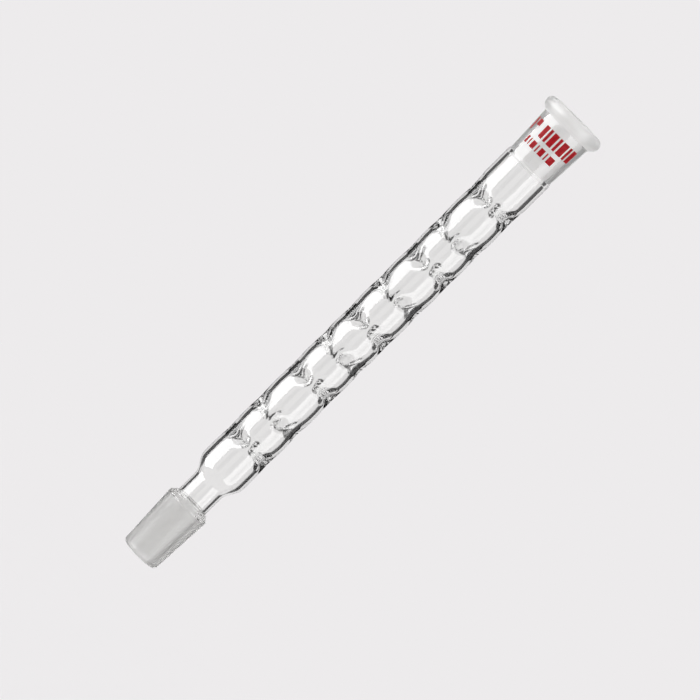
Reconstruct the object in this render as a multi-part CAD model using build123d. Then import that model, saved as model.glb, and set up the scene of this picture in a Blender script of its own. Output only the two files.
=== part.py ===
from build123d import *
import os
from math import cos, hypot, pi, radians, sin, tan

# A fractionating column of blown glass, one piece from end to end, in millimetres.
# It stands along +Z with its ground cone down. The origin is the centre of the cone's lower end.

# Ground joints, by their standard: large end, length and taper on the diameter
joint_large_end = 14.5
joint_length = 20.0
joint_taper = 1 / 10

# Heights up the column
column_length = 180.0
shoulder_height = 2.1
neck_height = 6.2
flare_height = 7.0

# Tubes, with one bore through cone and neck
tube_diameter = 16.5
tube_wall = 1.2
neck_diameter = 10.8
neck_wall = 1.15

# Cone's bevelled lip, and the shoulder above its ground zone
lip_width = 1.3
lip_height = 1.5
shoulder_bevel = 0.8

# Socket and its bead
socket_wall = 1.6
socket_step_height = 1.4
bead_diameter = 21.0
bead_height = 5.0
bead_round = 2.1
bead_underside_angle = 45.0
mouth_bevel = 0.5

# Round stretches of the outline are short chords, so that the many indentations can have their faces
bead_chords_under = 2
bead_chords_over = 3
swell_chords = 4

# Indentations, in rings of four, each ring turned by half a step from the one below.
# Each is a funnel of flat sides: a wide flare at the wall, and a slim flank down to a small blunt tip.
pits_per_row = 4
pit_sides = 9
pit_mouth_radius = 4.1
pit_throat_radius = 1.9
pit_tip_radius = 0.65
pit_flare_depth = 1.6
pit_tip_to_axis = 2.4
pit_wall = 0.9
level_droop = 5.0
steep_droop = 32.0

# Rings, from the lowest up: their spacing, and how far each strays from it, as worked by hand
first_row_rise = 10.3
row_pitch = 12.35
row_strays = (0.0, -0.3, 1.2, 1.0, -0.7, 0.0, -0.3, -0.8, 0.0)

# The tube is drawn in a little where the glass was worked, and keeps its full width at the grip
drawn_in = 0.2
draw_height = 1.4
mouth_margin = 0.4
grip_length = 8.8

# Sizes that follow
joint_slope = joint_taper / 2
cone_top_radius = joint_large_end / 2
cone_end_radius = cone_top_radius - joint_slope * joint_length
tube_radius = tube_diameter / 2
tube_bore = tube_radius - tube_wall
worked_radius = tube_radius - drawn_in
neck_radius = neck_diameter / 2
neck_bore = neck_radius - neck_wall
neck_bottom = joint_length + shoulder_height
neck_top = neck_bottom + neck_height
body_bottom = neck_top + flare_height
socket_bottom = column_length - joint_length
socket_end_radius = cone_end_radius + socket_wall
bead_bottom = column_length - bead_height
bead_radius = bead_diameter / 2
grip_top = socket_bottom - socket_step_height / 2
worked_top = grip_top - grip_length - draw_height
first_row_height = body_bottom + first_row_rise
mouth_reach = pit_mouth_radius + mouth_margin
row_count = 1 + int((worked_top - mouth_reach - first_row_height) / row_pitch)


def swell(low, high):
    """Points of an S curve between two points (radius, height), as glass is drawn out."""
    shares = [i / swell_chords for i in range(swell_chords + 1)]
    reach, rise = high[0] - low[0], high[1] - low[1]
    return [(low[0] + reach * (1 - cos(pi * t)) / 2, low[1] + rise * t) for t in shares]


def bead():
    """Points round the bead (radius, height), from its sloping underside up to its flat top."""
    centre_radius, centre_height = bead_radius - bead_round, column_length - bead_round
    under = [bead_underside_angle * (i / bead_chords_under - 1) for i in range(bead_chords_under)]
    over = [90 * i / bead_chords_over for i in range(bead_chords_over + 1)]
    turns = [radians(t) for t in under + over]
    return [(centre_radius + bead_round * cos(t), centre_height + bead_round * sin(t)) for t in turns]


def turned(points):
    """The solid of revolution of a closed outline of points (radius, height)."""
    return revolve(Plane.XZ * make_face(Polyline(*points, close=True)), Axis.Z)


def outside():
    """The column's outside without its indentations, solid to the axis."""
    step = socket_step_height / 2
    return turned(
        [
            (0, 0),
            (cone_end_radius - lip_width, 0),
            (cone_end_radius - lip_width / 4, lip_height / 3),
            (cone_end_radius + joint_slope * lip_height, lip_height),
            (cone_top_radius, joint_length),
            (cone_top_radius, neck_bottom - shoulder_bevel),
            (cone_top_radius - shoulder_bevel, neck_bottom),
            (neck_radius, neck_bottom),
            *swell((neck_radius, neck_top), (worked_radius, body_bottom)),
            (worked_radius, worked_top),
            (tube_radius, worked_top + draw_height),
            (tube_radius, grip_top),
            (socket_end_radius + joint_slope * step, socket_bottom + step),
            (socket_end_radius + joint_slope * (bead_bottom - socket_bottom), bead_bottom),
            *bead(),
            (0, column_length),
        ]
    )


def hollow():
    """The hollow through the column without its indentations."""
    return turned(
        [
            (0, 0),
            (neck_bore, 0),
            *swell((neck_bore, neck_top), (tube_bore, body_bottom)),
            (tube_bore, socket_bottom - socket_step_height),
            (cone_end_radius, socket_bottom),
            (cone_top_radius - joint_slope * mouth_bevel, column_length - mouth_bevel),
            (cone_top_radius + mouth_bevel, column_length),
            (0, column_length),
        ]
    )


def ring(place, radius, droop):
    """Corners of a many-sided ring round a pit's middle line, at a place out from the column's axis."""
    drop = (worked_radius - place) * tan(radians(droop))
    turns = [2 * pi * i / pit_sides for i in range(pit_sides)]
    return [Vector(place, radius * sin(t), radius * cos(t) - drop) for t in turns]


def funnel(stations, droop):
    """A closed solid of flat sides through stations (place, radius), from the wall to the tip."""
    rings = [ring(place, radius, droop) for place, radius in stations]
    faces = [Face(Wire.make_polygon(rings[0])), Face(Wire.make_polygon(rings[-1]))]
    for wide, slim in zip(rings, rings[1:]):
        for i in range(pit_sides):
            corners = [wide[i - 1], wide[i], slim[i], slim[i - 1]]
            faces.append(Face(Wire.make_polygon(corners)))
    return Solid(Shell(faces))


def pit(droop, skin):
    """One indentation's funnel, grown by a skin of glass where the skin isn't nothing."""
    throat_place = worked_radius - pit_flare_depth
    flare = (pit_mouth_radius - pit_throat_radius) / pit_flare_depth
    flank = (pit_throat_radius - pit_tip_radius) / (throat_place - pit_tip_to_axis)
    flare_skin = skin * hypot(1, flare)
    flank_skin = skin * hypot(1, flank)
    # The grown flare and flank meet further in than the pit's own
    shift = (flare_skin - flank_skin) / (flare - flank)
    grown_place = throat_place - shift
    grown_radius = pit_throat_radius + flank_skin - shift * flank
    start = worked_radius + pit_flare_depth
    tip_place = pit_tip_to_axis - skin
    stations = [
        (start, grown_radius + (start - grown_place) * flare),
        (grown_place, grown_radius),
        (tip_place, grown_radius - (grown_place - tip_place) * flank),
    ]
    return funnel(stations, droop)


def indentations(skin):
    """Every ring of pits, by turns level and steep, from the lowest up."""
    half_step = 180 / pits_per_row
    kinds = [pit(level_droop, skin), pit(steep_droop, skin)]
    placed = []
    for row in range(row_count):
        height = first_row_height + row * row_pitch + row_strays[row % len(row_strays)]
        steep = row % 2
        for i in range(pits_per_row):
            turn = (2 * i + steep) * half_step
            placed.append(Pos(0, 0, height) * Rot(0, 0, turn) * kinds[steep])
    return placed


column = (outside() - indentations(0)) - (hollow() - indentations(pit_wall))
os.makedirs("parts", exist_ok=True)
export_step(column, "parts/glass_column.step")
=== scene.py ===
"""Looks of a blown glass fractionating column with an indented wall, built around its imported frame.

The column is one piece of glass: a double-walled tube, pressed in by rings of deep pits, with a
ground cone below and a beaded ground socket above. Every size is in metres, in the frame's own axes.
"""

import logging
import math
from dataclasses import dataclass, field
from enum import Enum
from typing import Mapping, Optional, Sequence, Union

import bpy
from mathutils import Matrix, Vector

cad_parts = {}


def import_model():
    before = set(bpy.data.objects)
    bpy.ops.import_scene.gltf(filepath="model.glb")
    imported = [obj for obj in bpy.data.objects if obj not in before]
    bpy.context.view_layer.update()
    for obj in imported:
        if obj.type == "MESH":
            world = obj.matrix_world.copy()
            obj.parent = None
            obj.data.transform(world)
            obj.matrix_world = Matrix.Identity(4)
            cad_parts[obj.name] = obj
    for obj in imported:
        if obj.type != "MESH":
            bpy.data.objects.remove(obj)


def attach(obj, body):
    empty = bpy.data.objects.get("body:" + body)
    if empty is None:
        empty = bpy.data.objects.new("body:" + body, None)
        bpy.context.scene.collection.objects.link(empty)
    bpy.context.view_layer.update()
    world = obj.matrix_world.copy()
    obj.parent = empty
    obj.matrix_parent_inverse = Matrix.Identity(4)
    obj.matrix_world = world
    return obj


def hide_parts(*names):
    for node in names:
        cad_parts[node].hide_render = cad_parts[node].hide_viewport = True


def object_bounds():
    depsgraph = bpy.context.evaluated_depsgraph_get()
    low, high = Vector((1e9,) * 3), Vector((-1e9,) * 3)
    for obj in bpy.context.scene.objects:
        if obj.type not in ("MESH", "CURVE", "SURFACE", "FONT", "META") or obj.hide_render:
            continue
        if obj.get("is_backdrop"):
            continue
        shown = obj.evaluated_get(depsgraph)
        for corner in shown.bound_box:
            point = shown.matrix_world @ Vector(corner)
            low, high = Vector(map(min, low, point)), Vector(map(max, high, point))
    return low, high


MM = 0.001
BODY = "root"
NODE = "glass_column"
# The studio's pale grey, as linear light
PALE = (0.847, 0.831, 0.839)

log = logging.getLogger("glass_column")

# What one ring's group of nodes takes, beside the mesh
RING_INPUTS = (
    "Height",
    "Turn",
    "Droop",
    "Pits",
    "Spread",
    "Shoulder",
    "Throat",
    "Throat depth",
    "Tip",
    "Tip place",
    "Glass",
    "Ring reach",
    "Ring draw",
    "Bore draw",
    "Unevenness",
    "Seed",
)

Point = tuple[float, float]
Value = Union["Signal", float]


class Skin(Enum):
    """Which side of the glass a point of the outline is on."""

    OUTER = 0.0
    INNER = 1.0


class Finish(Enum):
    """How a stretch of the glass is finished."""

    CLEAR = 0
    GROUND = 1


class Signal:
    """An output socket of a node tree, with Python's operators for the maths on it."""

    def __init__(self, graph: "Graph", socket: bpy.types.NodeSocket) -> None:
        """Wraps one socket.

        Args:
            graph: the graph that the socket is in.
            socket: the output socket.
        """
        self.graph = graph
        self.socket = socket

    def maths(self, operation: str, *others: Value) -> "Signal":
        """Adds one maths node: Vector Math where a value is a vector, and Math for numbers.

        Args:
            operation: the node's operation.
            others: what follows this signal in the node's inputs.

        Returns:
            The node's result.
        """
        values = (self, *others)
        vectors = any(isinstance(v, Signal) and v.socket.type == "VECTOR" for v in values)
        kind = "ShaderNodeVectorMath" if vectors else "ShaderNodeMath"
        return self.graph.add(kind, {"operation": operation}, dict(enumerate(values))).out()

    def __add__(self, other: Value) -> "Signal":
        """This plus other."""
        return self.maths("ADD", other)

    def __radd__(self, other: Value) -> "Signal":
        """Other plus this."""
        return self.maths("ADD", other)

    def __sub__(self, other: Value) -> "Signal":
        """This less other."""
        return self.maths("SUBTRACT", other)

    def __rsub__(self, other: float) -> "Signal":
        """Other, a number, less this."""
        return self.maths("MULTIPLY", -1.0).maths("ADD", other)

    def __mul__(self, other: Value) -> "Signal":
        """This times other."""
        return self.maths("MULTIPLY", other)

    def __rmul__(self, other: Value) -> "Signal":
        """Other times this."""
        return self.maths("MULTIPLY", other)

    def __truediv__(self, other: Value) -> "Signal":
        """This divided by other."""
        return self.maths("DIVIDE", other)

    def __pow__(self, other: float) -> "Signal":
        """This to a power."""
        return self.maths("POWER", other)

    def __neg__(self) -> "Signal":
        """This with its sign turned."""
        return self.maths("MULTIPLY", -1.0)

    def between(self, low: float, high: float) -> "Signal":
        """A smooth rise of this signal.

        Args:
            low: where the rise is still 0.
            high: where it reaches 1.

        Returns:
            The rise, from 0 to 1.
        """
        values = {"Value": self, "From Min": low, "From Max": high}
        settings = {"interpolation_type": "SMOOTHSTEP"}
        return self.graph.add("ShaderNodeMapRange", settings, values).out()


@dataclass
class Made:
    """A node that a graph has added, with its outputs as signals."""

    graph: "Graph"
    node: bpy.types.Node

    def out(self, name: Union[str, int] = 0) -> Signal:
        """One output, by name or number."""
        return Signal(self.graph, self.node.outputs[name])


class Graph:
    """A node tree under construction, for a material, the world or a mesh."""

    def __init__(self, tree: bpy.types.NodeTree) -> None:
        """Takes a tree and empties it.

        Args:
            tree: the tree to build in.
        """
        self.tree = tree
        tree.nodes.clear()

    def add(
        self,
        kind: str,
        settings: Optional[Mapping[str, object]] = None,
        values: Optional[Mapping[Union[str, int], object]] = None,
    ) -> Made:
        """Adds a node of any type.

        Args:
            kind: the node's type.
            settings: its own settings, which are set first.
            values: what its inputs get, each a signal to link or a plain value.

        Returns:
            The node, with its outputs.
        """
        node = self.tree.nodes.new(kind)
        for name, value in (settings or {}).items():
            setattr(node, name, value)
        for key, value in (values or {}).items():
            if isinstance(value, Signal):
                self.tree.links.new(value.socket, node.inputs[key])
            else:
                node.inputs[key].default_value = value
        return Made(self, node)

    def mix(self, share: Value, first: object, second: object) -> Signal:
        """A colour between two.

        Args:
            share: the second colour's share.
            first: the first colour, plain or a signal.
            second: the second colour, plain or a signal.

        Returns:
            The mixed colour.
        """
        made = self.add("ShaderNodeMix", {"data_type": "RGBA"}, {0: share, 6: first, 7: second})
        return made.out(2)

    def noise(self, place: Signal, scale: float, detail: float = 2.0) -> Signal:
        """Noise at a place.

        Args:
            place: where it is read.
            scale: how fine it is.
            detail: how many finer layers it has.

        Returns:
            The noise, from 0 to 1.
        """
        values = {"Vector": place, "Scale": scale, "Detail": detail}
        return self.add("ShaderNodeTexNoise", None, values).out(0)

    def stretched(self, scale: tuple[float, float, float]) -> Signal:
        """Object coordinates, stretched along each axis.

        Args:
            scale: the factor on each axis.

        Returns:
            The stretched coordinates.
        """
        place = self.add("ShaderNodeTexCoord").out("Object")
        return self.add("ShaderNodeMapping", None, {"Vector": place, "Scale": scale}).out()


class Surface:
    """A new material with its node graph and output."""

    def __init__(self, name: str) -> None:
        """Makes the material and its output node.

        Args:
            name: the material's name.
        """
        self.material = bpy.data.materials.new(name)
        self.material.use_nodes = True
        self.graph = Graph(self.material.node_tree)
        self.output = self.graph.add("ShaderNodeOutputMaterial")

    def show(self, shader: Signal) -> bpy.types.Material:
        """Links a shader to the output.

        Args:
            shader: the finished shader.

        Returns:
            The material.
        """
        self.graph.tree.links.new(shader.socket, self.output.node.inputs["Surface"])
        return self.material


@dataclass(frozen=True)
class ClearGlass:
    """Fire-polished glass, faintly uneven where it was drawn out.

    Args:
        tint: the share of light that a wall lets through, by colour.
        ior: its refractive index.
        wave_height: how far its surface waves, in metres.
    """

    name: str = "clear_glass"
    tint: tuple[float, float, float] = (0.955, 0.958, 0.952)
    deep_tint: tuple[float, float, float] = (0.94, 0.946, 0.94)
    ior: float = 1.474
    smooth: float = 0.0
    worn: float = 0.02
    wave_scale: float = 260.0
    wave_strength: float = 0.05
    wave_height: float = 0.00004

    def build(self) -> bpy.types.Material:
        """Makes the material."""
        surface = Surface(self.name)
        graph = surface.graph
        drawn = graph.noise(graph.stretched((1.0, 1.0, 0.12)), self.wave_scale)
        smear = graph.noise(graph.stretched((1.0, 1.0, 0.5)), self.wave_scale / 3, 3.0)
        streak = smear.between(0.35, 0.75)
        bump = graph.add(
            "ShaderNodeBump",
            None,
            {"Strength": self.wave_strength, "Distance": self.wave_height, "Height": drawn},
        )
        shader = graph.add(
            "ShaderNodeBsdfPrincipled",
            None,
            {
                "Base Color": graph.mix(streak, (*self.tint, 1.0), (*self.deep_tint, 1.0)),
                "Roughness": streak * (self.worn - self.smooth) + self.smooth,
                "IOR": self.ior,
                "Transmission Weight": 1.0,
                "Normal": bump.out(),
            },
        )
        return surface.show(shader.out())


@dataclass(frozen=True)
class GroundGlass:
    """Glass ground to a fine taper: milky, with faint rings from the grinding.

    Args:
        milk: how much of it scatters light instead of letting it through.
        roughness: how far the ground surface spreads what it lets through.
        rings: how closely the grinding's rings lie.
    """

    name: str = "ground_glass"
    tint: tuple[float, float, float] = (0.93, 0.93, 0.92)
    pale_tint: tuple[float, float, float] = (0.98, 0.98, 0.975)
    # Painted shade: the ground glass below the height that follows is tinted darker, so the cone looks
    # darker than the socket
    cone_painted_shade_tint: tuple[float, float, float] = (0.79, 0.79, 0.775)
    painted_shade_top: float = 0.1
    ior: float = 1.474
    milk: float = 0.28
    roughness: float = 0.34
    spread: float = 0.12
    rings: float = 5200.0
    grain: float = 4200.0

    def build(self) -> bpy.types.Material:
        """Makes the material."""
        surface = Surface(self.name)
        graph = surface.graph
        grain = graph.noise(graph.stretched((1.0, 1.0, 1.0)), self.grain, 3.0)
        rings = graph.noise(graph.stretched((0.03, 0.03, 1.0)), self.rings, 2.0)
        cloud = graph.noise(graph.stretched((1.0, 1.0, 0.6)), 220.0, 3.0).between(0.3, 0.7)
        height = grain * 0.6 + rings * 0.4
        spot = graph.add("ShaderNodeSeparateXYZ", None, {0: graph.stretched((1.0, 1.0, 1.0))})
        # Painted shade: below that height, on the cone, the ground glass takes the darker tint instead
        # of its own
        raised = spot.out(2).between(self.painted_shade_top, self.painted_shade_top + 0.01)
        colour = graph.mix(cloud, (*self.tint, 1.0), (*self.pale_tint, 1.0))
        bump = graph.add(
            "ShaderNodeBump", None, {"Strength": 0.1, "Distance": 0.00002, "Height": height}
        )
        shader = graph.add(
            "ShaderNodeBsdfPrincipled",
            None,
            {
                "Base Color": graph.mix(raised, (*self.cone_painted_shade_tint, 1.0), colour),
                "Roughness": cloud * self.spread + self.roughness,
                "IOR": self.ior,
                "Transmission Weight": 1.0 - self.milk,
                "Normal": bump.out(),
            },
        )
        return surface.show(shader.out())


@dataclass(frozen=True)
class Enamel:
    """Fired red enamel, thin and glossy, with a slightly uneven colour.

    Args:
        thin: its colour where the layer is thin.
        full: its colour where the layer is full.
    """

    name: str = "red_enamel"
    thin: tuple[float, float, float] = (0.5, 0.012, 0.02)
    full: tuple[float, float, float] = (0.38, 0.004, 0.008)

    def build(self) -> bpy.types.Material:
        """Makes the material."""
        surface = Surface(self.name)
        graph = surface.graph
        patch = graph.noise(graph.stretched((1.0, 1.0, 1.0)), 900.0, 3.0).between(0.35, 0.65)
        grain = graph.noise(graph.stretched((1.0, 1.0, 1.0)), 6000.0)
        bump = graph.add(
            "ShaderNodeBump", None, {"Strength": 0.15, "Distance": 0.00002, "Height": grain}
        )
        shader = graph.add(
            "ShaderNodeBsdfPrincipled",
            None,
            {
                "Base Color": graph.mix(patch, (*self.thin, 1.0), (*self.full, 1.0)),
                "Roughness": patch * 0.12 + 0.45,
                "IOR": 1.5,
                "Specular IOR Level": 0.08,
                "Normal": bump.out(),
            },
        )
        return surface.show(shader.out())


@dataclass
class Joint:
    """A standard ground joint: its large end, length and taper on the diameter, in millimetres."""

    large_end: float = 14.5
    length: float = 20.0
    taper: float = 0.1

    def radius(self, down: float) -> float:
        """The ground surface's radius, a way down from the large end."""
        return (self.large_end - self.taper * down) / 2


@dataclass
class Outline:
    """The glass's closed section, as points (radius, height) in millimetres, each with its skin.

    Args:
        step: the longest step between two points of a straight stretch.
    """

    step: float = 1.6
    points: list[tuple[float, float, Skin, Finish]] = field(default_factory=list)
    skin: Skin = Skin.OUTER
    finish: Finish = Finish.CLEAR

    def add(self, radius: float, height: float) -> None:
        """Adds one point, with the present skin and finish."""
        self.points.append((radius, height, self.skin, self.finish))

    def line(self, radius: float, height: float, step: Optional[float] = None) -> None:
        """Goes straight to a point.

        Args:
            radius: the point's radius.
            height: its height.
            step: the longest step on the way, or none for the outline's own.
        """
        start = self.points[-1]
        reach = math.hypot(radius - start[0], height - start[1])
        count = max(1, math.ceil(reach / (step or self.step) - 1e-6))
        for i in range(1, count + 1):
            share = i / count
            self.add(start[0] + (radius - start[0]) * share, start[1] + (height - start[1]) * share)

    def arc(self, centre: Point, radius: float, start: float, end: float, count: int) -> None:
        """Goes round a centre.

        Args:
            centre: the arc's centre.
            radius: its radius.
            start: the first point's angle, in degrees.
            end: the last point's angle.
            count: how many chords it has.
        """
        for i in range(count + 1):
            turn = math.radians(start + (end - start) * i / count)
            self.add(centre[0] + radius * math.cos(turn), centre[1] + radius * math.sin(turn))

    def swell(self, radius: float, height: float, count: int) -> None:
        """Goes to a point along an S curve that is upright at both ends.

        Args:
            radius: the point's radius.
            height: its height.
            count: how many chords the curve has.
        """
        start = self.points[-1]
        for i in range(1, count + 1):
            share = i / count
            bow = (1 - math.cos(math.pi * share)) / 2
            self.add(start[0] + (radius - start[0]) * bow, start[1] + (height - start[1]) * share)


@dataclass
class Walls:
    """The glass without its indentations: cone, neck, body, socket and bead, in millimetres."""

    joint: Joint = field(default_factory=Joint)
    length: float = 180.0
    lip_round: float = 1.2
    lip_bore_round: float = 0.45
    shoulder_height: float = 1.6
    shoulder_slope: float = 1.2
    shoulder_round: float = 0.3
    neck_radius: float = 5.4
    neck_bore: float = 4.25
    neck_top: float = 28.3
    neck_fillet: float = 0.7
    body_bottom: float = 35.3
    worked_radius: float = 8.05
    worked_top: float = 149.1
    tube_radius: float = 8.25
    tube_bore: float = 6.5
    draw_height: float = 1.4
    socket_wall: float = 1.6
    socket_step: float = 1.2
    seam_rise: float = 0.6
    bead_centre: Point = (8.4, 177.9)
    bead_round: float = 2.1
    bead_bottom: float = 175.3
    bead_under: float = 58.0
    mouth_round: float = 0.45
    fine: float = 0.42
    turns: int = 128

    def outline(self) -> Outline:
        """Goes once round the section: up the outside, over the bead and down the inside.

        Returns:
            The closed section.
        """
        way = Outline()
        self.go_up(way)
        self.go_down(way)
        return way

    def go_up(self, way: Outline) -> None:
        """Adds the outside, from the cone's lip to the bead's top.

        Args:
            way: the outline to add to.
        """
        joint = self.joint
        slope = joint.taper / 2
        lip_radius = joint.radius(joint.length) + slope * self.lip_round
        neck_bottom = joint.length + self.shoulder_height
        way.skin = Skin.OUTER
        way.finish = Finish.GROUND
        way.arc((lip_radius - self.lip_round, self.lip_round), self.lip_round, -90, 0, 8)
        way.line(joint.radius(0), joint.length)
        way.finish = Finish.CLEAR
        edge = neck_bottom - self.shoulder_slope
        corner = (joint.radius(0) - self.shoulder_round, edge - self.shoulder_round / 2)
        way.arc(corner, self.shoulder_round, 0, 45, 4)
        way.line(joint.radius(0) - self.shoulder_slope, neck_bottom - 0.1, 0.4)
        fillet = (self.neck_radius + self.neck_fillet, neck_bottom + self.neck_fillet)
        way.arc(fillet, self.neck_fillet, 270, 180, 5)
        way.line(self.neck_radius, self.neck_top, 1.0)
        way.swell(self.worked_radius, self.body_bottom, 14)
        way.line(self.worked_radius, self.worked_top, self.fine)
        way.swell(self.tube_radius, self.worked_top + self.draw_height, 4)
        socket_bottom = self.length - joint.length
        half = self.socket_step / 2
        end = joint.radius(joint.length) + self.socket_wall
        seam = socket_bottom + self.seam_rise
        way.line(self.tube_radius, seam - half, 1.0)
        way.swell(end + slope * (half + self.seam_rise), seam + half, 8)
        high = end + slope * (self.bead_bottom - socket_bottom)
        way.line(high - slope * 0.5, self.bead_bottom - 0.5, 1.0)
        way.add(high + 0.06, self.bead_bottom - 0.1)
        way.add(high + 0.3, self.bead_bottom + 0.25)
        way.finish = Finish.GROUND
        way.arc(self.bead_centre, self.bead_round, -self.bead_under, 90, 20)

    def go_down(self, way: Outline) -> None:
        """Adds the mouth and the inside, down to the cone's lip.

        Args:
            way: the outline to add to.
        """
        joint = self.joint
        slope = joint.taper / 2
        socket_bottom = self.length - joint.length
        mouth = joint.radius(0) + self.mouth_round
        way.line(mouth + 0.1, self.length, 0.3)
        way.skin = Skin.INNER
        way.arc((mouth, self.length - self.mouth_round), self.mouth_round, 90, 180, 5)
        way.finish = Finish.GROUND
        way.line(joint.radius(joint.length), socket_bottom, 1.0)
        way.finish = Finish.CLEAR
        way.swell(self.tube_bore, socket_bottom - self.socket_step, 8)
        way.line(self.tube_bore, self.worked_top, 1.0)
        way.line(self.tube_bore, self.body_bottom, self.fine)
        way.swell(self.neck_bore, self.neck_top, 14)
        way.line(self.neck_bore, self.lip_bore_round, 2.0)
        centre = (self.neck_bore + self.lip_bore_round, self.lip_bore_round)
        way.arc(centre, self.lip_bore_round, 180, 265, 4)

    def mesh(self) -> bpy.types.Mesh:
        """Turns the section round the axis.

        Returns:
            One closed mesh, with each point's skin and each face's finish stored.
        """
        points = self.outline().points
        rows, turns = len(points), self.turns
        places = []
        for radius, height, _skin, _finish in points:
            for i in range(turns):
                turn = 2 * math.pi * i / turns
                out = radius * MM
                places.append((out * math.cos(turn), out * math.sin(turn), height * MM))
        faces = []
        for j in range(rows):
            low, high = j * turns, ((j + 1) % rows) * turns
            for i in range(turns):
                k = (i + 1) % turns
                faces.append((low + i, low + k, high + k, high + i))
        mesh = bpy.data.meshes.new("column_walls")
        mesh.from_pydata(places, [], faces)
        skins = mesh.attributes.new("skin", "FLOAT", "POINT")
        skins.data.foreach_set("value", [p[2].value for p in points for _ in range(turns)])
        ground = mesh.attributes.new("ground", "BOOLEAN", "FACE")
        ends = [points[(j + 1) % rows][3] for j in range(rows)]
        ground.data.foreach_set("value", [e is Finish.GROUND for e in ends for _ in range(turns)])
        mesh.validate()
        return mesh


@dataclass
class Pits:
    """The rings of pits that are pressed into the wall, in millimetres and degrees.

    Args:
        strays: how far each ring lies from its even place, from the lowest up.
        spread: how far round its middle a pit takes wall from.
        tip_place: how far from the column's axis a pit ends.
        glass: how thick the glass is round a pit.
        ring_draw: how far the outside is drawn in at a ring.
        bore_draw: how far the bore is drawn in there.
    """

    per_ring: int = 4
    first_height: float = 45.6
    pitch: float = 12.35
    strays: Sequence[float] = (0.0, -0.3, 1.2, 1.0, -0.7, 0.0, -0.3, -0.8, 0.0)
    level_droop: float = 5.0
    steep_droop: float = 32.0
    spread: float = 3.8
    shoulder: float = 1.7
    throat: float = 0.75
    throat_depth: float = 1.5
    tip: float = 0.5
    tip_place: float = 2.4
    glass: float = 0.65
    ring_reach: float = 6.15
    ring_draw: float = 0.25
    bore_draw: float = 0.5
    uneven: float = 1.0
    seed: int = 7
    # How far single pits stray: round the column, up it, and in their droop
    aside_stray: float = 5.0
    height_stray: float = 1.0
    droop_stray: float = 6.0
    # How far apart the chances of two rings, and of two lots in a ring, are drawn
    seed_step: float = 11.0
    lot_step: float = 0.37
    # The glass's share that widens the inner skin, at shoulder, throat and tip
    shoulder_glass: float = 1.1
    throat_glass: float = 0.85
    tip_glass: float = 0.7

    def press(self, walls: bpy.types.Object, finishes: Sequence[bpy.types.Material]) -> None:
        """Gives the walls a tree that presses each ring in turn and sets the finishes.

        Args:
            walls: the glass without its pits.
            finishes: the clear and the ground finish.
        """
        group = self.ring_group()
        tree = bpy.data.node_groups.new("press_all_rings", "GeometryNodeTree")
        tree.interface.new_socket("Geometry", in_out="INPUT", socket_type="NodeSocketGeometry")
        sizes = {
            "Ring spacing": self.pitch * MM,
            "Lowest ring": self.first_height * MM,
            "Unevenness": self.uneven,
        }
        for name in sizes:
            tree.interface.new_socket(name, in_out="INPUT", socket_type="NodeSocketFloat")
        tree.interface.new_socket("Geometry", in_out="OUTPUT", socket_type="NodeSocketGeometry")
        graph = Graph(tree)
        entry = graph.add("NodeGroupInput")
        shape = entry.out("Geometry")
        half_step = math.pi / self.per_ring
        for row, stray in enumerate(self.strays):
            steep = row % 2
            height = entry.out("Ring spacing") * float(row) + entry.out("Lowest ring") + stray * MM
            values = {
                "Geometry": shape,
                "Height": height,
                "Turn": steep * half_step,
                "Droop": math.radians(self.steep_droop if steep else self.level_droop),
                "Pits": float(self.per_ring),
                "Spread": self.spread * MM,
                "Shoulder": self.shoulder * MM,
                "Throat": self.throat * MM,
                "Throat depth": self.throat_depth * MM,
                "Tip": self.tip * MM,
                "Tip place": self.tip_place * MM,
                "Glass": self.glass * MM,
                "Ring reach": self.ring_reach * MM,
                "Ring draw": self.ring_draw * MM,
                "Bore draw": self.bore_draw * MM,
                "Unevenness": entry.out("Unevenness"),
                "Seed": float(self.seed + row),
            }
            shape = graph.add("GeometryNodeGroup", {"node_tree": group}, values).out()
        shape = graph.add("GeometryNodeRealizeInstances", None, {"Geometry": shape}).out()
        shape = graph.add(
            "GeometryNodeSetMaterial", None, {"Geometry": shape, "Material": finishes[0]}
        ).out()
        ground = graph.add(
            "GeometryNodeInputNamedAttribute", {"data_type": "BOOLEAN"}, {"Name": "ground"}
        ).out("Attribute")
        shape = graph.add(
            "GeometryNodeSetMaterial",
            None,
            {"Geometry": shape, "Selection": ground, "Material": finishes[1]},
        ).out()
        graph.add("NodeGroupOutput", None, {"Geometry": shape})
        modifier = walls.modifiers.new("press", "NODES")
        modifier.node_group = tree
        for item in tree.interface.items_tree:
            if item.in_out == "INPUT" and item.name in sizes:
                modifier[item.identifier] = sizes[item.name]

    def ring_group(self) -> bpy.types.NodeTree:
        """Makes the group of nodes that presses one ring of pits into both skins of the wall.

        Returns:
            The group.
        """
        tree = bpy.data.node_groups.new("press_one_ring", "GeometryNodeTree")
        tree.interface.new_socket("Geometry", in_out="INPUT", socket_type="NodeSocketGeometry")
        for name in RING_INPUTS:
            tree.interface.new_socket(name, in_out="INPUT", socket_type="NodeSocketFloat")
        tree.interface.new_socket("Geometry", in_out="OUTPUT", socket_type="NodeSocketGeometry")
        graph = Graph(tree)
        size = graph.add("NodeGroupInput").out
        spot = graph.add("GeometryNodeInputPosition").out()
        parts = graph.add("ShaderNodeSeparateXYZ", None, {0: spot})
        x, y, z = parts.out(0), parts.out(1), parts.out(2)
        skin = graph.add(
            "GeometryNodeInputNamedAttribute", {"data_type": "FLOAT"}, {"Name": "skin"}
        ).out("Attribute")
        radius = (x * x + y * y).maths("SQRT")
        turn = y.maths("ARCTAN2", x) - size("Turn")

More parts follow.
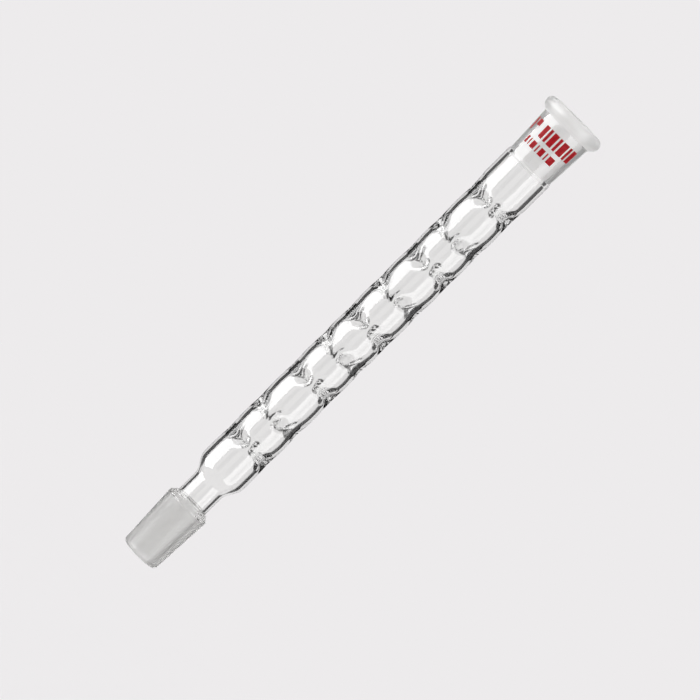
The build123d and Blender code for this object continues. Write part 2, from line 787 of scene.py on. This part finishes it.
        # The nearest pit of the ring, and how it strays from its place
        step = (size("Pits") / (2 * math.pi)) ** -1.0
        index = (turn / step + 0.5).maths("FLOOR")
        number = index.maths("FLOORED_MODULO", size("Pits"))
        loose = []
        for lot in range(3):
            luck = number + size("Seed") * self.seed_step + lot * self.lot_step
            chance = graph.add("ShaderNodeTexWhiteNoise", {"noise_dimensions": "1D"}, {"W": luck})
            loose.append((chance.out("Value") - 0.5) * size("Unevenness"))
        aside = loose[0] * math.radians(self.aside_stray)
        raised = loose[1] * (self.height_stray * MM)
        droop = size("Droop") + loose[2] * math.radians(self.droop_stray)
        along = radius * (turn - index * step - aside)
        above = z - size("Height") - raised
        apart = (along * along + above * above).maths("SQRT")

        # The whole ring is drawn in a little, the bore more than the outside
        draw = size("Ring draw") + (size("Bore draw") - size("Ring draw")) * skin
        from_ring = ((z - size("Height")).maths("ABSOLUTE") / size("Ring reach")).maths("MINIMUM", 1.0)
        pull = ((from_ring * math.pi).maths("COSINE") + 1.0) * 0.5
        drawn = radius - draw * pull

        # The pit's own curve, from the wall's shoulder down the throat to its rounded tip
        inward = 1.0 - (apart / size("Spread")).maths("MINIMUM", 1.0)
        glass = size("Glass") * skin
        depth = radius - draw - size("Tip place") + glass
        places = [
            size("Spread"),
            size("Shoulder") + glass * self.shoulder_glass,
            size("Throat") + glass * self.throat_glass,
            size("Tip") + glass * self.tip_glass,
            size("Tip") * 0.0,
        ]
        depths = [depth * 0.0, depth * 0.0, size("Throat depth") - glass * self.tip_glass, depth, depth]
        across = self.curve(inward, places)
        down = self.curve(inward, depths)

        # Back from the pit's own axis to the column's
        share = across / apart.maths("MAXIMUM", 1e-7)
        side = along * share / radius
        out = drawn * side.maths("COSINE") - down
        beside = drawn * side.maths("SINE")
        lean = droop.maths("TANGENT")
        rise = size("Height") + raised + above * share - down * lean
        facing = size("Turn") + index * step + aside
        cosine, sine = facing.maths("COSINE"), facing.maths("SINE")
        pressed = graph.add(
            "ShaderNodeCombineXYZ",
            None,
            {0: out * cosine - beside * sine, 1: out * sine + beside * cosine, 2: rise},
        ).out()
        shrink = drawn / radius
        plain = graph.add("ShaderNodeCombineXYZ", None, {0: x * shrink, 1: y * shrink, 2: z}).out()
        inside = apart.maths("LESS_THAN", size("Spread"))
        place = graph.add(
            "ShaderNodeMix", {"data_type": "VECTOR"}, {0: inside, 4: plain, 5: pressed}
        ).out(1)
        near = (z - size("Height")).maths("ABSOLUTE").maths("LESS_THAN", size("Ring reach"))
        shape = graph.add(
            "GeometryNodeSetPosition",
            None,
            {"Geometry": size("Geometry"), "Selection": near, "Position": place},
        ).out()
        graph.add("NodeGroupOutput", None, {"Geometry": shape})
        return tree

    @staticmethod
    def curve(share: Signal, controls: Sequence[Signal]) -> Signal:
        """A smooth curve through the ends of its controls.

        Args:
            share: from 0 at the first control to 1 at the last.
            controls: what it leaves, leans to and reaches, in order.

        Returns:
            The curve's value at that share.
        """
        order = len(controls) - 1
        rest = 1.0 - share
        total: Optional[Signal] = None
        for i, control in enumerate(controls):
            term = control * float(math.comb(order, i))
            for _ in range(i):
                term = term * share
            for _ in range(order - i):
                term = term * rest
            total = term if total is None else total + term
        return total


@dataclass
class Column:
    """The one glass piece, from its walls and pits."""

    walls: Walls = field(default_factory=Walls)
    pits: Pits = field(default_factory=Pits)

    def build(self, finishes: Sequence[bpy.types.Material]) -> bpy.types.Object:
        """Makes the piece as a plain mesh, at its place in the frame.

        Args:
            finishes: the clear and the ground finish.

        Returns:
            The finished piece.
        """
        rough = bpy.data.objects.new("unpressed_walls", self.walls.mesh())
        bpy.context.scene.collection.objects.link(rough)
        self.pits.press(rough, finishes)
        graph = bpy.context.evaluated_depsgraph_get()
        mesh = bpy.data.meshes.new_from_object(
            rough.evaluated_get(graph), preserve_all_data_layers=True, depsgraph=graph
        )
        rough.modifiers.clear()
        bpy.data.objects.remove(rough)
        mesh.name = "column_glass"
        mesh.shade_smooth()
        face_outward(mesh)
        piece = bpy.data.objects.new("column_glass", mesh)
        bpy.context.scene.collection.objects.link(piece)
        return piece


def face_outward(mesh: bpy.types.Mesh) -> None:
    """Turns a closed mesh's faces outward, by the sign of its volume.

    Args:
        mesh: the mesh.
    """
    volume = 0.0
    for face in mesh.polygons:
        first, second, third = (mesh.vertices[i].co for i in face.vertices[:3])
        volume += first.dot(second.cross(third))
    if volume < 0:
        mesh.flip_normals()


@dataclass
class Bar:
    """One field of the enamel mark: where it starts and ends round the socket, and its height."""

    start: float
    end: float
    low: float
    high: float


@dataclass
class EnamelMark:
    """Two plain rows of enamel fields on the socket, in degrees about its front and millimetres."""

    walls: Walls = field(default_factory=Walls)
    front: float = -65.0
    bold_row: Point = (168.5, 172.9)
    fine_row: Point = (164.7, 167.1)
    bold_spans: Sequence[Point] = (
        (-72, -66),
        (-34, -24),
        (-20, -14),
        (-10, 2),
        (6, 12),
        (16, 30),
        (34, 40),
        (44, 56),
    )
    half_span: Point = (-60, -48)
    fine_spans: Sequence[Point] = (
        (-52, -46),
        (-41, -38),
        (-33, -22),
        (-17, -14),
        (-9, 2),
        (7, 10),
        (15, 30),
    )
    layer: float = 0.05
    lift: float = 0.01
    cell: float = 3.0

    def bars(self) -> list[Bar]:
        """Lays out the fields of both rows.

        Returns:
            Every field.
        """
        low, high = self.bold_row
        bold = [Bar(start, end, low, high) for start, end in self.bold_spans]
        bold.append(Bar(*self.half_span, (low + high) / 2, high))
        low, high = self.fine_row
        return bold + [Bar(start, end, low, high) for start, end in self.fine_spans]

    def radius(self, height: float) -> float:
        """The socket wall's outer radius.

        Args:
            height: where up the column.

        Returns:
            The radius.
        """
        joint = self.walls.joint
        bottom = self.walls.length - joint.length
        return joint.radius(joint.length) + self.walls.socket_wall + joint.taper / 2 * (height - bottom)

    def build(self, finish: bpy.types.Material) -> bpy.types.Object:
        """Makes the mark's fields as thin closed curved plates on the wall.

        Args:
            finish: the enamel.

        Returns:
            The piece.
        """
        places: list[tuple[float, float, float]] = []
        faces: list[tuple[int, ...]] = []
        for bar in self.bars():
            self.plate(bar, places, faces)
        mesh = bpy.data.meshes.new("socket_enamel")
        mesh.from_pydata(places, [], faces)
        mesh.validate()
        mesh.shade_smooth()
        mesh.set_sharp_from_angle(angle=math.radians(40))
        mesh.materials.append(finish)
        piece = bpy.data.objects.new("socket_enamel", mesh)
        bpy.context.scene.collection.objects.link(piece)
        return piece

    def plate(self, bar: Bar, places: list, faces: list) -> None:
        """Adds one curved plate: its outer and inner sheet, and the rim between them.

        Args:
            bar: the field that the plate fills.
            places: the mark's corners so far, which it adds to.
            faces: the mark's faces so far, which it adds to.
        """
        count = max(2, math.ceil((bar.end - bar.start) / self.cell))
        first = len(places)
        for lift in (self.lift + self.layer, self.lift):
            for height in (bar.low, bar.high):
                radius = (self.radius(height) + lift) * MM
                for i in range(count + 1):
                    turn = math.radians(self.front + bar.start + (bar.end - bar.start) * i / count)
                    places.append((radius * math.cos(turn), radius * math.sin(turn), height * MM))
        width = count + 1
        low, high, inner_low, inner_high = (first + k * width for k in range(4))
        for i in range(count):
            faces.append((low + i, low + i + 1, high + i + 1, high + i))
            faces.append((inner_low + i, inner_high + i, inner_high + i + 1, inner_low + i + 1))
            faces.append((low + i, inner_low + i, inner_low + i + 1, low + i + 1))
            faces.append((high + i, high + i + 1, inner_high + i + 1, inner_high + i))
        faces.append((low, high, inner_high, inner_low))
        faces.append((low + count, inner_low + count, inner_high + count, high + count))


@dataclass
class Slit:
    """A dark upright gap in the pale surround, by its middle and half width in degrees."""

    middle: float
    half_width: float


@dataclass
class Studio:
    """The pale floor and surround, the soft lamps and the camera.

    Args:
        floor_height: the floor, below the held column.
        azimuth: the camera's way round the column, in degrees from the front.
        lean: how far the column leans right in the picture, in degrees.
        scale: what one pixel of the picture spans at the column.
        aside: how many pixels the column's middle lies right of the picture's.
        higher: how many it lies above it.
        slit_blur: how soft the dark slits' sides are, in degrees.
        slit_light: how much light the slits still give.
        slit_reach: how far above and below the level the slits begin to fade and end, in degrees.
    """

    floor_height: float = -0.085
    floor_reach: float = 0.9
    azimuth: float = 25.0
    elevation: float = 5.0
    distance: float = 1.6
    lean: float = 45.2
    scale: float = 0.2901 * MM
    picture: int = 700
    aside: float = 7.35
    higher: float = 12.45
    sensor: float = 36.0
    ambient: float = 0.62
    sun: float = 1.15
    box_light: float = 7.5
    box_away: float = 0.6
    box_height: float = 1.4
    slit_blur: float = 2.5
    slit_light: float = 0.008
    slit_reach: Point = (19.0, 24.0)
    slits: Sequence[Slit] = (
        Slit(158.0, 16.0),
        Slit(247.0, 18.0),
        Slit(312.0, 9.0),
        Slit(3.0, 9.0),
        Slit(87.0, 9.0),
    )

    def build(self, middle: Vector) -> None:
        """Makes the stage, the lamps and the camera.

        Args:
            middle: the column's middle.
        """
        self.surround()
        self.floor()
        self.lamps(middle)
        self.camera(middle)

    def toward(self, azimuth: float, elevation: float = 0.0) -> Vector:
        """The direction from the column to a place round it.

        Args:
            azimuth: its way round the column, in degrees from the front.
            elevation: how far it lies above the level, in degrees.

        Returns:
            The direction, of length 1.
        """
        turn, rise = math.radians(azimuth), math.radians(elevation)
        flat = math.cos(rise)
        return Vector((math.sin(turn) * flat, -math.cos(turn) * flat, math.sin(rise)))

    def surround(self) -> None:
        """Sets the world: pale for the camera, with dark slits for what glass shows."""
        world = bpy.data.worlds.new("pale_surround")
        world.use_nodes = True
        bpy.context.scene.world = world
        graph = Graph(world.node_tree)
        direction = graph.add("ShaderNodeTexCoord").out("Generated")
        way = graph.add("ShaderNodeSeparateXYZ", None, {0: direction})
        turn = way.out(0).maths("ARCTAN2", -way.out(1))
        dark: Optional[Signal] = None
        for slit in self.slits:
            off = (turn - math.radians(slit.middle)).maths("COSINE")
            edge = math.cos(math.radians(slit.half_width + self.slit_blur))
            core = math.cos(math.radians(slit.half_width - self.slit_blur))
            gap = off.between(edge, core)
            dark = gap if dark is None else dark.maths("MAXIMUM", gap)
        # The slits end above and below, so that only upright walls show them whole
        start, end = (math.sin(math.radians(tilt)) for tilt in self.slit_reach)
        dark = dark * (1.0 - way.out(2).maths("ABSOLUTE").between(start, end))
        seen = graph.mix(dark, (*PALE, 1.0), (self.slit_light, self.slit_light, self.slit_light, 1.0))
        path = graph.add("ShaderNodeLightPath")
        glass = path.out("Is Transmission Ray").maths("MAXIMUM", path.out("Is Glossy Ray"))
        ambient = (self.ambient, self.ambient, self.ambient, 1.0)
        colour = graph.mix(path.out("Is Camera Ray"), ambient, (*PALE, 1.0))
        colour = graph.mix(glass, colour, seen)
        light = graph.add("ShaderNodeBackground", None, {"Color": colour, "Strength": 1.0})
        graph.add("ShaderNodeOutputWorld", None, {"Surface": light.out()})

    def floor(self) -> None:
        """Makes the floor, which takes the shadow and melts into the surround at its edge."""
        mesh = bpy.data.meshes.new("floor")
        reach = self.floor_reach
        corners = [(-reach, -reach), (reach, -reach), (reach, reach), (-reach, reach)]
        mesh.from_pydata([(x, y, self.floor_height) for x, y in corners], [], [(0, 1, 2, 3)])
        surface = Surface("pale_floor")
        graph = surface.graph
        place = graph.add("ShaderNodeTexCoord").out("Object")
        spot = graph.add("ShaderNodeSeparateXYZ", None, {0: place})
        away = (spot.out(0) * spot.out(0) + spot.out(1) * spot.out(1)).maths("SQRT")
        grain = graph.noise(graph.stretched((1.0, 1.0, 1.0)), 60.0)
        shade = graph.mix(grain, (0.872, 0.856, 0.864, 1.0), (0.876, 0.860, 0.868, 1.0))
        lit = graph.add("ShaderNodeBsdfPrincipled", None, {"Base Color": shade, "Roughness": 0.9})
        lit.node.inputs["Specular IOR Level"].default_value = 0.0
        plain = graph.add("ShaderNodeEmission", None, {"Color": (*PALE, 1.0), "Strength": 1.0})
        fade = away.between(reach * 0.3, reach * 0.85)
        made = graph.add("ShaderNodeMixShader", None, {0: fade, 1: lit.out(), 2: plain.out()})
        mesh.materials.append(surface.show(made.out()))
        floor = bpy.data.objects.new("floor", mesh)
        bpy.context.scene.collection.objects.link(floor)
        floor.visible_transmission = False
        floor.visible_glossy = False
        floor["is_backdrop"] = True

    def lamps(self, middle: Vector) -> None:
        """Hangs the soft overhead light and the two tall boxes that glass mirrors.

        Args:
            middle: the column's middle.
        """
        overhead = bpy.data.lights.new("overhead", "SUN")
        overhead.energy = self.sun
        overhead.angle = math.radians(50)
        lamp = bpy.data.objects.new("overhead", overhead)
        lamp.rotation_euler = (math.radians(14), math.radians(-10), 0)
        lamp.visible_glossy = False
        lamp.visible_transmission = False
        bpy.context.scene.collection.objects.link(lamp)
        self.box("left_box", middle, -51.0, 0.74, self.box_light)
        self.box("right_box", middle, 78.0, 0.5, self.box_light * 0.55)

    def box(self, name: str, middle: Vector, azimuth: float, width: float, light: float) -> None:
        """Hangs one tall soft box, seen only in what is mirrored.

        Args:
            name: the lamp's name.
            middle: the column's middle.
            azimuth: its way round the column.
            width: how wide it is.
            light: how bright its face is.
        """
        lamp = bpy.data.lights.new(name, "AREA")
        lamp.shape = "RECTANGLE"
        lamp.size, lamp.size_y = width, self.box_height
        lamp.energy = light * math.pi * width * self.box_height
        hung = bpy.data.objects.new(name, lamp)
        back = self.toward(azimuth)
        across = Vector((0, 0, 1)).cross(back)
        turn = Matrix((across, Vector((0, 0, 1)), back)).transposed()
        hung.matrix_world = Matrix.Translation(middle + back * self.box_away) @ turn.to_4x4()
        hung.visible_diffuse = False
        hung.visible_transmission = False
        hung.visible_camera = False
        bpy.context.scene.collection.objects.link(hung)

    def camera(self, middle: Vector) -> None:
        """Sets the camera at the photograph's angle, turned so that the column leans right.

        Args:
            middle: the column's middle.
        """
        back = self.toward(self.azimuth, self.elevation)
        rise = (Vector((0, 0, 1)) - back * back.z).normalized()
        right = rise.cross(back)
        turn = math.radians(self.lean)
        up = rise * math.cos(turn) - right * math.sin(turn)
        across = rise * math.sin(turn) + right * math.cos(turn)
        aim = middle - across * (self.aside * self.scale) - up * (self.higher * self.scale)
        data = bpy.data.cameras.new("camera")
        data.sensor_width = self.sensor
        data.lens = self.sensor * self.distance / (self.picture * self.scale)
        data.clip_end = 20.0
        camera = bpy.data.objects.new("camera", data)
        frame = Matrix((across, up, back)).transposed().to_4x4()
        camera.matrix_world = Matrix.Translation(aim + back * self.distance) @ frame
        bpy.context.scene.collection.objects.link(camera)
        bpy.context.scene.camera = camera


def report(piece: bpy.types.Object) -> None:
    """Logs a piece's name and how many triangles it has.

    Args:
        piece: the finished piece.
    """
    triangles = sum(len(face.vertices) - 2 for face in piece.data.polygons)
    log.info("%s: %d triangles", piece.name, triangles)


def main() -> None:
    """Builds the column and its studio, in order."""
    logging.basicConfig(level=logging.INFO, format="%(name)s: %(message)s")
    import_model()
    cad_box = [list(corner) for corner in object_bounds()]
    low, high = (Vector(corner) for corner in cad_box)
    middle = Vector((0, 0, (low.z + high.z) / 2))
    bpy.context.scene.view_settings.view_transform = "Standard"

    column = Column()
    glass = column.build([ClearGlass().build(), GroundGlass().build()])
    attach(glass, BODY)
    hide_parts(NODE)
    report(glass)

    mark = EnamelMark(column.walls).build(Enamel().build())
    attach(mark, BODY)
    report(mark)

    Studio().build(middle)


if __name__ == "__main__":
    main()
